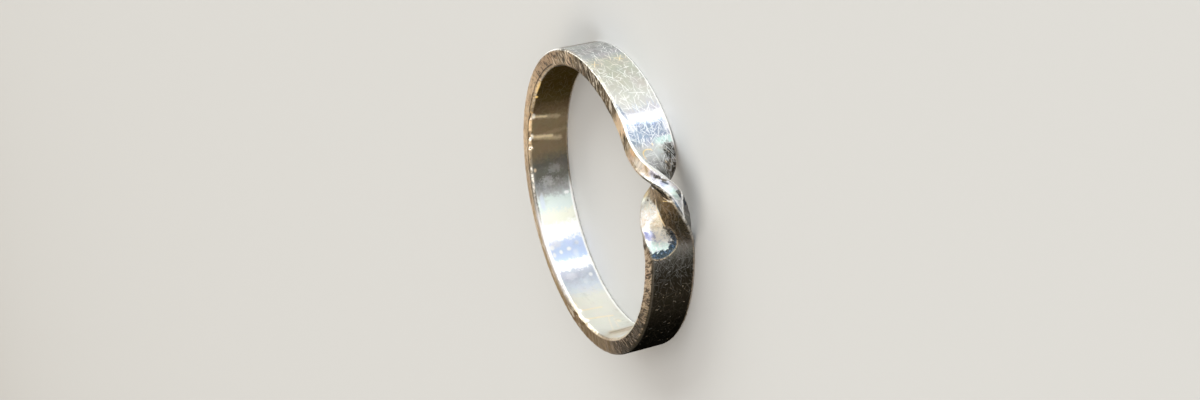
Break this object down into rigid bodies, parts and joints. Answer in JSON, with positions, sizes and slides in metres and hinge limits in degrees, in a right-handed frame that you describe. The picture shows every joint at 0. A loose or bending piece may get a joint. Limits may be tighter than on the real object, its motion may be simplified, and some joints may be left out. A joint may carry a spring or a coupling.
{
  "type": "twist ring",
  "caption": "Finger ring made of a flat silver strip closed into a round, with a half turn twisted into it.",
  "frame": {"origin": "centre of the finger hole, half way up the width of the band", "axes": "+Z along the finger hole, away from the surface the ring lies on; +X through the middle of the twist"},
  "size_m": [0.0223, 0.0202, 0.0033],
  "materials": {
    "silver": "worn silver with fine scratches, file marks on the rims and darker tarnish in the twist"
  },
  "bodies": {
    "root": {"band": "silver"}
  },
  "joints": []
}
